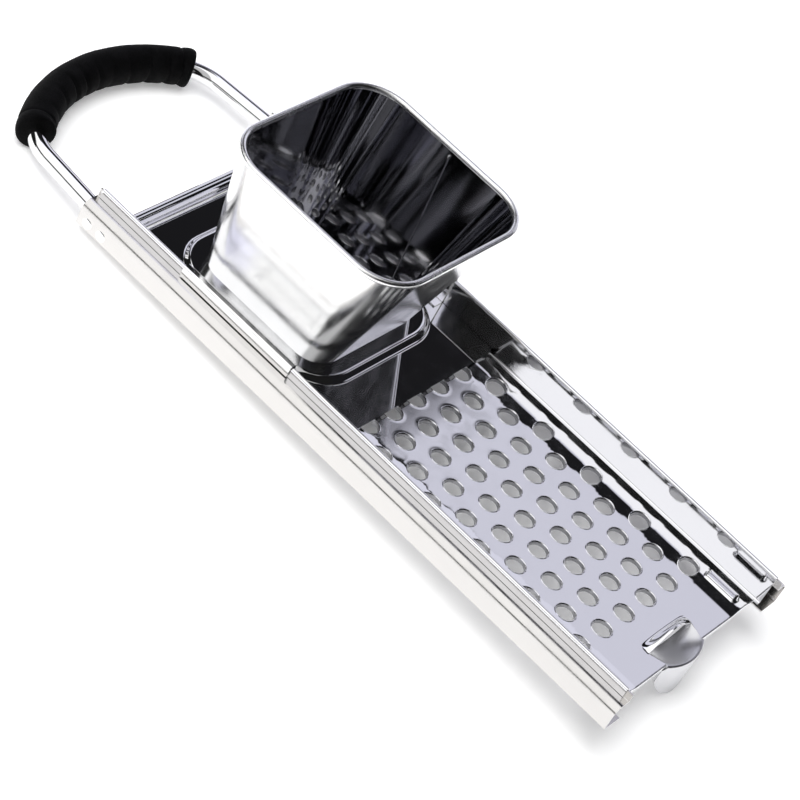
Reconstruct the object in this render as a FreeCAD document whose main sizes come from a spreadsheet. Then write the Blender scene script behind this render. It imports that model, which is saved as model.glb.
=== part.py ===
import FreeCAD, Part
import math
import os
import re
import Sketcher

# Spaetzle maker: a perforated deck between two folded rails, a rod handle with
# a soft sleeve at the rear and a square hopper that slides along the deck.
# +X points to the pot hook, +Y to the user's left, +Z up, in millimetres.
# The origin is the middle of the overall box, on the level of the tongue's tip.

SIZES = {
    # sheet steel, and the deck between the rails
    "SheetGauge": 0.6,
    "DeckHeight": 17.0,
    "ChannelWidth": 92.6,
    "DeckSetback": 4.4,
    "FlatWidth": 58.0,
    "BeadSlope": 4.75,
    "BeadCrest": 6.75,
    "BeadHeight": 1.2,
    "FrontLipDepth": 2.2,
    # drawn holes of the deck, in staggered rows
    "HoleDiameter": 7.2,
    "HolePitch": 13.5,
    "RowPitch": 12.05,
    "HoleRows": 17,
    "WideRowHoles": 6,
    "FirstRowSetback": 24.0,
    "CollarWall": 0.6,
    "CollarDepth": 1.0,
    # side walls of the deck, hemmed at the top
    "WallHeight": 13.5,
    "WallSetback": 2.6,
    "WallRearSetback": 1.3,
    "HemDepth": 4.0,
    # embossed end stops on the beads
    "StopLength": 15.7,
    "StopWidth": 4.0,
    "StopHeight": 2.4,
    "StopSpacing": 74.0,
    "StopSetback": 2.8,
    # hook at the front edge: a raised hood, a slot and a hanging tongue
    "HoodWidth": 28.0,
    "HoodReach": 7.0,
    "HoodRise": 6.0,
    "HoodSetback": 7.1,
    "SlotWidth": 22.0,
    "TongueWidth": 28.0,
    "TongueBend": 22.5,
    "TongueLap": 1.0,
    "TongueRoot": 1.2,
    # rail covers round the handle rod
    "RailLength": 262.0,
    "RailDrop": 1.8,
    "RailReturn": 9.6,
    "RailCorner": 1.5,
    "RailTuck": 3.2,
    # handle loop
    "RodDiameter": 7.0,
    "RodClearance": 0.05,
    "RodLevel": 5.2,
    "RodInsertion": 90.0,
    "HandleReach": 59.5,
    "BendSetback": 12.0,
    "BendRadius": 60.0,
    "ApexRadius": 67.5,
    "LoopCornerRadius": 21.0,
    "LoopCornerSpacing": 52.6,
    "GripDiameter": 14.8,
    "GripSpan": 85.0,
    # cross bar behind the deck
    "BarDiameter": 6.5,
    "BarLevel": 3.4,
    "BarSetback": 13.4,
    "BarWeldWidth": 1.6,
    "BarWeldThickness": 0.8,
    "BarWeldLap": 1.75,
    # spot welds
    "SpotDiameter": 4.4,
    "SpotHeight": 0.35,
    "SpotSetback": 4.6,
    "SpotPitch": 7.0,
    "ClipSpotDiameter": 3.0,
    "ClipSpotSpacing": 27.0,
    # sliding base of the hopper
    "BaseLength": 108.1,
    "BaseClearance": 0.3,
    "BaseCorner": 3.0,
    "StopClearance": 0.2,
    "RingHeight": 2.4,
    "RingCrest": 6.5,
    "RingSlope": 2.0,
    # hopper cup
    "CupTop": 63.7,
    "CupRimLength": 82.6,
    "CupRimWidth": 83.0,
    "CupRimCorner": 17.5,
    "CupRimOffset": 6.0,
    "CupFootLength": 60.6,
    "CupFootWidth": 60.6,
    "CupFootCorner": 10.5,
    "CupRearMargin": 20.7,
    "CupFit": 0.1,
    "RimWireDiameter": 2.6,
    # guide clips over the wall's hem
    "ClipLength": 54.0,
    "ClipFoot": 4.4,
    "ClipClearance": 0.3,
    "ClipLegDepth": 4.0,
}

# Places that follow from the sizes, written with the sizes' own words.
PLACES = {
    "RailFront": "(RailLength + HandleReach) / 2",
    "RailRear": "RailFront - RailLength",
    "DeckFront": "RailFront - DeckSetback",
    "WallFront": "RailFront - WallSetback",
    "WallRear": "RailRear + WallRearSetback",
    "WallInside": "ChannelWidth / 2",
    "WallOutside": "WallInside + SheetGauge",
    "WallTop": "DeckHeight + WallHeight",
    "HemSlot": "WallInside + 2 * SheetGauge",
    "HemOutside": "HemSlot + SheetGauge",
    "HemFoot": "WallTop - HemDepth",
    "BeadTop": "DeckHeight + BeadHeight",
    "BarMiddle": "RailRear + BarSetback",
    "DeckRear": "BarMiddle + BarDiameter / 2 + BarWeldThickness + StopClearance",
    "RodOffset": "WallOutside + RodClearance + RodDiameter / 2",
    "RodHeight": "DeckHeight + RodLevel",
    "BarHeight": "DeckHeight + BarLevel",
    "CoverInside": "RodOffset + RodDiameter / 2 + RodClearance",
    "CoverOutside": "CoverInside + SheetGauge",
    "CoverFoot": "DeckHeight - RailDrop",
    "LoopApex": "RailRear - HandleReach + GripDiameter / 2",
    "SlotRear": "DeckFront - HoodSetback",
    "StopFront": "DeckFront - StopSetback",
    "StopRear": "StopFront - StopLength",
    "BaseRear": "BarMiddle + BarDiameter / 2 + StopClearance",
    "BaseFront": "BaseRear + BaseLength",
    "BaseMiddle": "BaseRear + BaseLength / 2",
    "BaseSide": "WallInside - BaseClearance",
    "BaseBottom": "BeadTop + BaseClearance",
    "BaseTop": "BaseBottom + SheetGauge",
    "RingTop": "BaseTop + RingHeight",
    "FootMiddle": "BaseRear + CupRearMargin + CupFootLength / 2",
    "RimMiddle": "FootMiddle + CupRimOffset",
    "WireHeight": "DeckHeight + CupTop - RimWireDiameter / 2",
    "CupEdge": "DeckHeight + CupTop - RimWireDiameter",
    "ClipRiser": "BaseSide - SheetGauge",
    "ClipUnder": "WallTop + ClipClearance",
    "ClipLegInside": "HemOutside + ClipClearance",
}

LEFT, RIGHT = 1, -1
CYLINDER_AXES = {
    "X": FreeCAD.Rotation(FreeCAD.Vector(0, 1, 0), 90),
    "Y": FreeCAD.Rotation(FreeCAD.Vector(1, 0, 0), -90),
    "Z": FreeCAD.Rotation(),
}
OVERCUT = 1.0  # how far a cutting tool runs past the faces that it opens

doc = FreeCAD.newDocument("SpaetzleMaker")
sheet = doc.addObject("Spreadsheet::Sheet", "Sizes")
for row, (word, number) in enumerate(SIZES.items(), start=1):
    sheet.set(f"A{row}", word)
    sheet.set(f"B{row}", str(number))
    sheet.setAlias(f"B{row}", word)
doc.recompute()


def bound(text):
    """Write a formula of size and place words as one on the sheet's cells."""
    def swap(match):
        word = match.group(0)
        if word in PLACES:
            return f"({bound(PLACES[word])})"
        return f"Sizes.{word}" if word in SIZES else word
    return re.sub(r"[A-Za-z]\w*", swap, str(text))


def value(text):
    """The present number of a formula, in millimetres."""
    return float(sheet.evalExpression(bound(text)))


def set_place(thing, x=0, y=0, z=0, rotation=None):
    if rotation:
        thing.Placement = FreeCAD.Placement(FreeCAD.Vector(), rotation)
    for axis, text in zip("xyz", (x, y, z)):
        thing.setExpression(f"Placement.Base.{axis}", bound(text))
    return thing


def bind(thing, **formulas):
    for name, text in formulas.items():
        thing.setExpression(name, bound(text))
    return thing


def add_box(name, x, y, z):
    """A box between two formulas along each axis."""
    thing = doc.addObject("Part::Box", name)
    low_high = dict(Length=x, Width=y, Height=z)
    bind(thing, **{side: f"({high}) - ({low})" for side, (low, high) in low_high.items()})
    return set_place(thing, x[0], y[0], z[0])


def add_cylinder(name, radius, length, x=0, y=0, z=0, axis="Z"):
    thing = doc.addObject("Part::Cylinder", name)
    bind(thing, Radius=radius, Height=length)
    return set_place(thing, x, y, z, CYLINDER_AXES[axis])


def fuse(name, things):
    thing = doc.addObject("Part::MultiFuse", name)
    thing.Shapes = things
    return thing


def cut(name, base, tool):
    thing = doc.addObject("Part::Cut", name)
    thing.Base, thing.Tool = base, tool
    return thing


def common(name, things):
    thing = doc.addObject("Part::MultiCommon", name)
    thing.Shapes = things
    return thing


def gather(name, things):
    thing = doc.addObject("Part::Compound", name)
    thing.Links = things
    return thing


def new_sketch(body, name, plane, offset=0):
    """A sketch on one of the body's origin planes, moved along its normal."""
    sketch = body.newObject("Sketcher::SketchObject", name)
    planes = [item for item in body.Origin.OriginFeatures if item.Role == plane]
    sketch.AttachmentSupport = (planes[0], "")
    sketch.MapMode = "FlatFace"
    bind(sketch, **{"AttachmentOffset.Base.z": offset})
    return sketch


def arc_between(start, end, radius, turn):
    """The short arc from start to end; turn is 1 to the left and -1 to the right."""
    chord = end - start
    rise = math.sqrt(max(radius**2 - chord.Length**2 / 4, 0))
    side = FreeCAD.Vector(-chord.y, chord.x, 0).normalize()
    centre = (start + end) / 2 + side * rise * turn
    first, last = (start, end) if turn > 0 else (end, start)
    angles = [math.atan2(p.y - centre.y, p.x - centre.x) for p in (first, last)]
    circle = Part.Circle(centre, FreeCAD.Vector(0, 0, 1), radius)
    return Part.ArcOfCircle(circle, angles[0], angles[1])


def draw_loop(sketch, corners):
    """Draw a closed outline whose corners are pinned by formulas. A corner is
    (u, v) before a straight edge, or (u, v, radius, turn) before an arc."""
    points = [FreeCAD.Vector(value(c[0]), value(c[1]), 0) for c in corners]
    count, first_edge = len(corners), sketch.GeometryCount
    starts, ends = [], []
    for index, corner in enumerate(corners):
        start, end = points[index], points[(index + 1) % count]
        if len(corner) == 2:
            sketch.addGeometry(Part.LineSegment(start, end), False)
            turn = 1
        else:
            turn = corner[3]
            sketch.addGeometry(arc_between(start, end, value(corner[2]), turn), False)
        edge = first_edge + index
        starts.append((edge, 1 if turn > 0 else 2))
        ends.append((edge, 2 if turn > 0 else 1))
    for index, corner in enumerate(corners):
        sketch.addConstraint(Sketcher.Constraint("Coincident", *ends[index - 1], *starts[index]))
        for kind, text in (("DistanceX", corner[0]), ("DistanceY", corner[1])):
            pin = Sketcher.Constraint(kind, -1, 1, *starts[index], value(text))
            number = sketch.addConstraint(pin)
            sketch.setExpression(f"Constraints[{number}]", bound(text))
        if len(corner) > 2:
            pin = Sketcher.Constraint("Radius", first_edge + index, value(corner[2]))
            number = sketch.addConstraint(pin)
            sketch.setExpression(f"Constraints[{number}]", bound(corner[2]))


def rounded(rear, front, right, left, radius):
    """Corners of a rounded rectangle in plan, for draw_loop."""
    return [
        (f"({rear}) + ({radius})", right),
        (f"({front}) - ({radius})", right, radius, 1),
        (front, f"({right}) + ({radius})"),
        (front, f"({left}) - ({radius})", radius, 1),
        (f"({front}) - ({radius})", left),
        (f"({rear}) + ({radius})", left, radius, 1),
        (rear, f"({left}) - ({radius})"),
        (rear, f"({right}) + ({radius})", radius, 1),
    ]


def add_pad(body, name, plane, offset, corners, length):
    """Pad an outline from a plane of the body along the plane's normal."""
    sketch = new_sketch(body, f"{name}Sketch", plane, offset)
    draw_loop(sketch, corners)
    pad = body.newObject("PartDesign::Pad", name)
    pad.Profile = sketch
    bind(pad, Length=length)
    return pad


def profile_body(name, corners, rear, front):
    """A folded strip: one cross-section in YZ, padded along X."""
    body = doc.addObject("PartDesign::Body", name)
    add_pad(body, f"{name}Pad", "YZ_Plane", rear, corners, f"({front}) - ({rear})")
    return body


def mirrored(corners, side):
    """The cross-section on the left side, or its mirror image on the right."""
    if side == LEFT:
        return corners
    return [
        (f"-({c[0]})", c[1]) if len(c) == 2 else (f"-({c[0]})", c[1], c[2], -c[3])
        for c in corners
    ]


def deck_section():
    """Half of the deck's cross-section along its top, then back along its underside."""
    slope_end, crest_end = "FlatWidth / 2 + BeadSlope", "FlatWidth / 2 + BeadSlope + BeadCrest"
    top = [
        ("FlatWidth / 2", "DeckHeight"),
        (slope_end, "BeadTop"),
        (crest_end, "BeadTop"),
        ("WallInside", "DeckHeight"),
        ("WallInside", "WallTop"),
        ("HemOutside", "WallTop"),
        ("HemOutside", "HemFoot"),
        ("HemSlot", "HemFoot"),
        ("HemSlot", "WallTop - SheetGauge"),
        ("WallOutside", "WallTop - SheetGauge"),
        ("WallOutside", "DeckHeight - SheetGauge"),
    ]
    under = [
        (crest_end, "BeadTop - SheetGauge"),
        (slope_end, "BeadTop - SheetGauge"),
        ("FlatWidth / 2", "DeckHeight - SheetGauge"),
    ]
    left = top + under
    return left + mirrored(left[::-1], RIGHT)


def make_deck_blank():
    """The folded sheet before its holes, trimmed at the front and the rear."""
    body = profile_body("DeckBlank", deck_section(), "WallRear", "WallFront")
    inner = ("-WallInside", "WallInside")
    front = add_box("DeckFrontTrim", ("DeckFront", f"WallFront + {OVERCUT}"), inner,
                    (f"DeckHeight - SheetGauge - {OVERCUT}", f"BeadTop + {OVERCUT}"))
    rear = add_box("DeckRearTrim", (f"WallRear - {OVERCUT}", "DeckRear"),
                   ("-WallOutside", "WallOutside"),
                   (f"DeckHeight - SheetGauge - {OVERCUT}", "HemFoot"))
    return cut("TrimmedDeck", body, fuse("DeckTrims", [front, rear]))


def make_front_lip():
    """The deck's front edge, turned down."""
    slope_end, crest_end = "FlatWidth / 2 + BeadSlope", "FlatWidth / 2 + BeadSlope + BeadCrest"
    left = [("FlatWidth / 2", "DeckHeight"), (slope_end, "BeadTop"), (crest_end, "BeadTop")]
    foot = [(crest_end, "DeckHeight - FrontLipDepth")]
    corners = left + foot
    return profile_body("FrontLip", corners + mirrored(corners[::-1], RIGHT), "DeckFront - SheetGauge", "DeckFront")


def hole_places():
    """Staggered rows from the front: wide rows alternate with rows of one hole less."""
    for row in range(int(value("HoleRows"))):
        wide = int(value("WideRowHoles"))
        count = wide - row % 2
        for column in range(count):
            x = f"DeckFront - FirstRowSetback - {row} * RowPitch"
            y = f"({column} - {(count - 1) / 2}) * HolePitch"
            yield f"{row + 1}_{column + 1}", x, y, abs(column - (count - 1) / 2) > wide / 2 - 1


def make_holes():
    """Collars below the deck, and the bores through deck and collar."""
    collars, bores = [], []
    for mark, x, y, on_bead in hole_places():
        foot = "DeckHeight - SheetGauge - CollarDepth"
        top = "BeadTop - SheetGauge" if on_bead else "DeckHeight - SheetGauge / 2"
        radius = "HoleDiameter / 2"
        collars.append(add_cylinder(f"Collar_{mark}", f"{radius} + CollarWall",
                                    f"({top}) - ({foot})", x, y, foot))
        bores.append(add_cylinder(f"Bore_{mark}", radius,
                                  f"BeadTop - ({foot}) + {2 * OVERCUT}", x, y,
                                  f"({foot}) - {OVERCUT}"))
    return collars, bores


def make_stops():
    """Two oblong bosses with round ends on the crests of the beads."""
    stops = []
    for side, word in ((LEFT, "Left"), (RIGHT, "Right")):
        middle = f"{side} * StopSpacing / 2"
        top, foot = "StopHeight + SheetGauge / 2", "BeadTop - SheetGauge / 2"
        stops.append(add_box(f"{word}StopBlock",
                             ("StopRear + StopWidth / 2", "StopFront - StopWidth / 2"),
                             (f"{middle} - StopWidth / 2", f"{middle} + StopWidth / 2"),
                             (foot, f"{foot} + {top}")))
        for end, x in (("Rear", "StopRear + StopWidth / 2"), ("Front", "StopFront - StopWidth / 2")):
            stops.append(add_cylinder(f"{word}Stop{end}", "StopWidth / 2", top, x, middle, foot))
    return stops


def add_ellipsoid(name, shrink, x, z):
    thing = doc.addObject("Part::Ellipsoid", name)
    bind(thing, Radius1=f"HoodRise - {shrink}", Radius2=f"HoodReach - {shrink}",
         Radius3=f"HoodWidth / 2 - {shrink}")
    thing.Angle1, thing.Angle2, thing.Angle3 = -90, 90, 360
    return set_place(thing, x, 0, z)


def make_hood():
    """The raised half of the hook: a quarter shell that is open to the front."""
    outer = add_ellipsoid("HoodOuter", "0", "SlotRear", "DeckHeight")
    keep = add_box("HoodKeep", ("SlotRear - HoodReach", "SlotRear"),
                   ("-HoodWidth / 2", "HoodWidth / 2"),
                   ("DeckHeight - SheetGauge / 2", "DeckHeight + HoodRise"))
    hollow = add_ellipsoid("HoodHollow", "SheetGauge", "SlotRear", "DeckHeight")
    return common("HoodBlock", [outer, keep]), hollow


def make_tongue():
    """The hanging half of the hook: an upright curved sheet with a round tip."""
    axis_x = "DeckFront - sqrt(TongueBend ^ 2 - (TongueWidth / 2 - TongueLap) ^ 2)"
    shell = cut("TongueTube",
                add_cylinder("TongueOutside", "TongueBend", "DeckHeight", axis_x),
                add_cylinder("TongueInside", "TongueBend - SheetGauge",
                             f"DeckHeight + {2 * OVERCUT}", axis_x, 0, f"-{OVERCUT}"))
    tip = add_cylinder("TongueTip", "TongueWidth / 2", "2 * TongueBend",
                       "DeckFront - TongueRoot", 0, "TongueWidth / 2", "X")
    root = add_box("TongueRoot",
                   ("DeckFront - TongueRoot", "DeckFront + TongueBend"),
                   ("-TongueWidth / 2", "TongueWidth / 2"),
                   ("TongueWidth / 2", "DeckHeight"))
    return common("Tongue", [shell, fuse("TongueOutline", [tip, root])])


def make_slot():
    """The opening between hood and tongue, narrower at the front edge."""
    body = doc.addObject("PartDesign::Body", "HookSlot")
    corners = [
        ("SlotRear", "-HoodWidth / 2 + SheetGauge"),
        (f"DeckFront + {OVERCUT}", "-SlotWidth / 2"),
        (f"DeckFront + {OVERCUT}", "SlotWidth / 2"),
        ("SlotRear", "HoodWidth / 2 - SheetGauge"),
    ]
    depth = "FrontLipDepth + BeadHeight"
    add_pad(body, "HookSlotPad", "XY_Plane", "DeckHeight - FrontLipDepth - SheetGauge", corners,
            f"{depth} + {OVERCUT}")
    return body


def make_plate():
    collars, bores = make_holes()
    hood, hollow = make_hood()
    solid = fuse("PlateSolid", [make_deck_blank(), make_front_lip(), hood, *make_stops(), *collars])
    open_plate = cut("OpenPlate", solid, fuse("PlateCuts", [hollow, make_slot(), *bores]))
    return fuse("PlateWithTongue", [open_plate, make_tongue()])


def cover_section():
    """Cross-section of the left rail cover: tucked under the hem, round the rod,
    down to the foot and back under the deck."""
    shoulder = "RodHeight + RodDiameter / 2 + RodClearance"
    inner_radius = "RodDiameter / 2 + RodClearance"
    return [
        ("HemSlot", "HemFoot + RailTuck"),
        ("WallOutside", "HemFoot + RailTuck"),
        ("WallOutside", shoulder),
        ("RodOffset", shoulder, inner_radius, -1),
        ("CoverInside", "RodHeight"),
        ("CoverInside", "CoverFoot + SheetGauge"),
        ("CoverOutside - RailReturn", "CoverFoot + SheetGauge"),
        ("CoverOutside - RailReturn", "CoverFoot"),
        ("CoverOutside - RailCorner", "CoverFoot", "RailCorner", 1),
        ("CoverOutside", "CoverFoot + RailCorner"),
        ("CoverOutside", "RodHeight", f"{inner_radius} + SheetGauge", 1),
        ("RodOffset", f"{shoulder} + SheetGauge"),
        ("HemSlot", f"{shoulder} + SheetGauge"),
    ]


def make_cover(side, name):
    return profile_body(name, mirrored(cover_section(), side), "RailRear", "RailFront")


def point(x, y, z):
    return FreeCAD.Vector(x, y, z)


def loop_geometry():
    """Centres, tangent points and radii of the handle's centre line, left half."""
    height, offset = value("RodHeight"), value("RodOffset")
    apex_radius, corner_radius = value("ApexRadius"), value("LoopCornerRadius")
    apex_centre = point(value("LoopApex") + apex_radius, 0, height)
    corner_y = value("LoopCornerSpacing / 2")
    corner_x = apex_centre.x - math.sqrt((apex_radius - corner_radius) ** 2 - corner_y**2)
    corner_centre = point(corner_x, corner_y, height)
    meet = apex_centre + (corner_centre - apex_centre).normalize() * apex_radius
    # the arm leaves the corner on the tangent that is as far out as the rail's rod
    bend_x = value("RailRear + BendSetback")
    reach = point(bend_x, offset, height) - corner_centre
    lean = math.atan2(reach.y, reach.x)
    slope = lean - math.asin(corner_radius / reach.Length)
    leave = corner_centre + point(-math.sin(slope), math.cos(slope), 0) * corner_radius
    return apex_centre, corner_centre, meet, leave, point(bend_x, offset, height), slope


def on_arc(centre, start, end):
    """An arc's middle point, from its centre and its two ends."""
    middle = (start - centre) + (end - centre)
    return centre + middle.normalize() * (start - centre).Length


def flipped(vector):
    return point(vector.x, -vector.y, vector.z)


def loop_edges():
    """The handle's centre line: straight in the rail, a slight bend, the arm and the loop."""
    apex_centre, corner_centre, meet, leave, bend, slope = loop_geometry()
    setback = value("BendRadius") * math.tan(slope / 2)
    into = bend + point(setback, 0, 0)
    out_of = bend - point(math.cos(slope), math.sin(slope), 0) * setback
    bend_centre = into - point(0, value("BendRadius"), 0)
    front = point(value("RailRear + RodInsertion"), bend.y, bend.z)
    left = [
        Part.LineSegment(front, into),
        Part.Arc(into, on_arc(bend_centre, into, out_of), out_of),
        Part.LineSegment(out_of, leave),
        Part.Arc(leave, on_arc(corner_centre, leave, meet), meet),
    ]
    apex = Part.Arc(meet, point(value("LoopApex"), 0, bend.z), flipped(meet))
    right = [
        Part.Arc(flipped(meet), flipped(on_arc(corner_centre, leave, meet)), flipped(leave)),
        Part.LineSegment(flipped(leave), flipped(out_of)),
        Part.Arc(flipped(out_of), flipped(on_arc(bend_centre, into, out_of)), flipped(into)),
        Part.LineSegment(flipped(into), flipped(front)),
    ]
    return [curve.toShape() for curve in left + [apex] + right]


def grip_edges():
    """The part of the centre line under the sleeve, between points GripSpan apart."""
    apex_centre, corner_centre, meet, leave, bend, slope = loop_geometry()
    half = value("GripSpan / 2")
    apex = point(value("LoopApex"), 0, bend.z)
    if half <= meet.y:
        # a short sleeve lies on the apex arc alone
        back = math.sqrt(value("ApexRadius") ** 2 - half**2)
        start = apex_centre + point(-back, half, 0)
        return [Part.Arc(start, apex, flipped(start)).toShape()]
    arms = []
    if half <= leave.y:
        rise = half - corner_centre.y
        back = math.sqrt(value("LoopCornerRadius") ** 2 - rise**2)
        start = corner_centre + point(-back, rise, 0)
    else:
        # a long sleeve reaches out along the arms
        start = leave
        front = leave + (bend - leave) * ((half - leave.y) / (bend.y - leave.y))
        arms = [Part.LineSegment(front, leave), Part.LineSegment(flipped(leave), flipped(front))]
    middle = on_arc(corner_centre, start, meet)
    curves = [
        *arms[:1],
        Part.Arc(start, middle, meet),
        Part.Arc(meet, apex, flipped(meet)),
        Part.Arc(flipped(meet), flipped(middle), flipped(start)),
        *arms[1:],
    ]
    return [curve.toShape() for curve in curves]


def sweep_round(name, edges, radius):
    """Sweep a circle along a wire that starts at the circle's middle."""
    path = doc.addObject("Part::Feature", f"{name}Path")
    path.Shape = Part.Wire(edges)
    start = path.Shape.Edges[0]
    ring = doc.addObject("Part::Circle", f"{name}Section")
    bind(ring, Radius=radius)
    turn = FreeCAD.Rotation(point(0, 0, 1), start.tangentAt(start.FirstParameter))
    ring.Placement = FreeCAD.Placement(start.valueAt(start.FirstParameter), turn)
    sweep = doc.addObject("Part::Sweep", f"{name}Sweep")
    sweep.Sections = [ring]
    sweep.Spine = (path, [f"Edge{number + 1}" for number in range(len(edges))])
    sweep.Solid = True
    sweep.Frenet = True
    return sweep


def make_grip():
    """The soft sleeve, a thick tube round the bend of the loop."""
    outer = sweep_round("GripOuter", grip_edges(), "GripDiameter / 2")
    bore = sweep_round("GripBore", grip_edges(), "RodDiameter / 2 + RodClearance")
    return cut("GripTube", outer, bore)


def make_cope(name):
    """The rod with its clearance, to cope what is welded against it."""
    return sweep_round(name, loop_edges(), "RodDiameter / 2 + RodClearance")


def make_bar():
    """The bar between the arms, coped to the rods at its ends."""
    bar = add_cylinder("BarBlank", "BarDiameter / 2", "2 * RodOffset",
                       "BarMiddle", "-RodOffset", "BarHeight", "Y")
    return cut("BarCoped", bar, make_cope("BarCope"))


def make_bar_welds():
    """A bead round each end of the bar, against the rod."""
    seams = []
    for side, word in ((LEFT, "Left"), (RIGHT, "Right")):
        start = "RodOffset - RodDiameter / 2 - BarWeldWidth"
        length = "BarWeldWidth + BarWeldLap"
        low = start if side == LEFT else f"-({start}) - ({length})"
        ring = cut(f"{word}BarWeldRing",
                   add_cylinder(f"{word}BarWeldOuter", "BarDiameter / 2 + BarWeldThickness",
                                length, "BarMiddle", low, "BarHeight", "Y"),
                   add_cylinder(f"{word}BarWeldHole", "BarDiameter / 2", length,
                                "BarMiddle", low, "BarHeight", "Y"))
        clear_of_deck = add_box(f"{word}BarWeldKeep",
                                ("BarMiddle - BarDiameter", "BarMiddle + BarDiameter"),
                                (low, f"({low}) + ({length})"),
                                ("DeckHeight", "BarHeight + BarDiameter"))
        seams.append(common(f"{word}BarWeldSeam", [ring, clear_of_deck]))
    return cut("BarWeldsCoped", gather("BarWeldSeams", seams), make_cope("WeldCope"))


def make_rail_spots():
    """Two low round weld spots on the outer face of each rail, near its rear end."""
    spots = []
    for side, word in ((LEFT, "Left"), (RIGHT, "Right")):
        for number in range(2):
            face = "CoverOutside" if side == LEFT else "-CoverOutside - SpotHeight"
            spots.append(add_cylinder(f"{word}RailSpot{number + 1}", "SpotDiameter / 2",
                                      "SpotHeight", f"RailRear + SpotSetback + {number} * SpotPitch",
                                      face, "CoverFoot + RailCorner + SpotDiameter / 2", "Y"))
    return gather("RailSpots", spots)


def cup_corners(height, inset):
    """The cup's rounded outline at a height, each side moved in by the inset."""
    share = f"((({height}) - BaseBottom) / (CupEdge - BaseBottom))"
    half_length = f"(CupFootLength + (CupRimLength - CupFootLength) * {share}) / 2 - ({inset})"
    half_width = f"(CupFootWidth + (CupRimWidth - CupFootWidth) * {share}) / 2 - ({inset})"
    middle = f"FootMiddle + CupRimOffset * {share}"
    radius = f"CupFootCorner + (CupRimCorner - CupFootCorner) * {share} - ({inset})"
    return rounded(f"{middle} - ({half_length})", f"{middle} + ({half_length})",
                   f"-({half_width})", half_width, radius)


def make_cup():
    """A tapered cup that is open at both ends: an outer loft less an inner one."""
    body = doc.addObject("PartDesign::Body", "CupBody")
    for kind, inset in (("Additive", "0"), ("Subtractive", "SheetGauge")):
        ends = []
        for word, height in (("Foot", "BaseBottom"), ("Edge", "CupEdge")):
            sketch = new_sketch(body, f"Cup{kind}{word}", "XY_Plane", height)
            draw_loop(sketch, cup_corners(height, inset))
            ends.append(sketch)
        loft = body.newObject(f"PartDesign::{kind}Loft", f"Cup{kind}")
        loft.Profile = ends[0]
        loft.Sections = [ends[1]]
        loft.Ruled = True
    return body


def make_rim_wire():
    """The round wire on the cup's edge, following the cup's rounded outline."""
    body = doc.addObject("PartDesign::Body", "RimWireBody")
    path = new_sketch(body, "RimPath", "XY_Plane", "WireHeight")
    draw_loop(path, cup_corners("CupEdge", "SheetGauge / 2"))
    section = new_sketch(body, "RimSection", "YZ_Plane", "RimMiddle")
    circle = Part.Circle(point(value("CupRimWidth / 2 - SheetGauge / 2"), value("WireHeight"), 0),
                         point(0, 0, 1), value("RimWireDiameter / 2"))
    edge = section.addGeometry(circle, False)
    pins = (("DistanceX", (-1, 1, edge, 3), "CupRimWidth / 2 - SheetGauge / 2"),
            ("DistanceY", (-1, 1, edge, 3), "WireHeight"),
            ("Radius", (edge,), "RimWireDiameter / 2"))
    for kind, where, text in pins:
        number = section.addConstraint(Sketcher.Constraint(kind, *where, value(text)))
        section.setExpression(f"Constraints[{number}]", bound(text))
    pipe = body.newObject("PartDesign::AdditivePipe", "RimPipe")
    pipe.Profile = section
    pipe.Spine = (path, [f"Edge{number + 1}" for number in range(path.GeometryCount)])
    return body


def make_base():
    """The sliding flange with the raised step round the cup's foot."""
    body = doc.addObject("PartDesign::Body", "BaseBody")
    add_pad(body, "BaseFlange", "XY_Plane", "BaseBottom",
            rounded("BaseRear", "BaseFront", "-BaseSide", "BaseSide", "BaseCorner"), "SheetGauge")
    # the step: a low loft, hollow below and open in the middle
    wide, narrow = "-(RingCrest + RingSlope)", "-RingCrest"
    steps = (
        ("Additive", "RingOuter", "BaseTop", "RingTop", "0"),
        ("Subtractive", "RingHollow", "BaseBottom", "RingTop - SheetGauge", "SheetGauge"),
    )
    for kind, word, low, high, inset in steps:
        ends = []
        for mark, height, grow in (("Low", low, wide), ("High", high, narrow)):
            sketch = new_sketch(body, f"{word}{mark}", "XY_Plane", height)
            draw_loop(sketch, ring_corners(f"{grow} + {inset}"))
            ends.append(sketch)
        loft = body.newObject(f"PartDesign::{kind}Loft", word)
        loft.Profile = ends[0]
        loft.Sections = [ends[1]]
        loft.Ruled = True
    sketch = new_sketch(body, "BaseOpeningSketch", "XY_Plane", "RingTop")
    draw_loop(sketch, cup_corners("RingTop", "-CupFit"))
    opening = body.newObject("PartDesign::Pocket", "BaseOpening")
    opening.Profile = sketch
    bind(opening, Length="RingTop - BaseBottom")
    return body


def ring_corners(inset):
    """The outline of the cup's foot, each side moved in by the inset."""
    return cup_corners("BaseBottom", inset)


def clip_section():
    """Cross-section of the left clip: foot on the flange, riser, top and outer leg."""
    under, top = "ClipUnder", "ClipUnder + SheetGauge"
    leg_outside = "ClipLegInside + SheetGauge"
    leg_foot = "ClipUnder - ClipLegDepth"
    return [
        ("ClipRiser - ClipFoot", "BaseTop"),
        ("BaseSide", "BaseTop"),
        ("BaseSide", under),
        ("ClipLegInside", under),
        ("ClipLegInside", leg_foot),
        (leg_outside, leg_foot),
        (leg_outside, top),
        ("ClipRiser", top),
        ("ClipRiser", "BaseTop + SheetGauge"),
        ("ClipRiser - ClipFoot", "BaseTop + SheetGauge"),
    ]


def make_clip(side, name):
    return profile_body(name, mirrored(clip_section(), side),
                        "BaseMiddle - ClipLength / 2", "BaseMiddle + ClipLength / 2")


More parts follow.
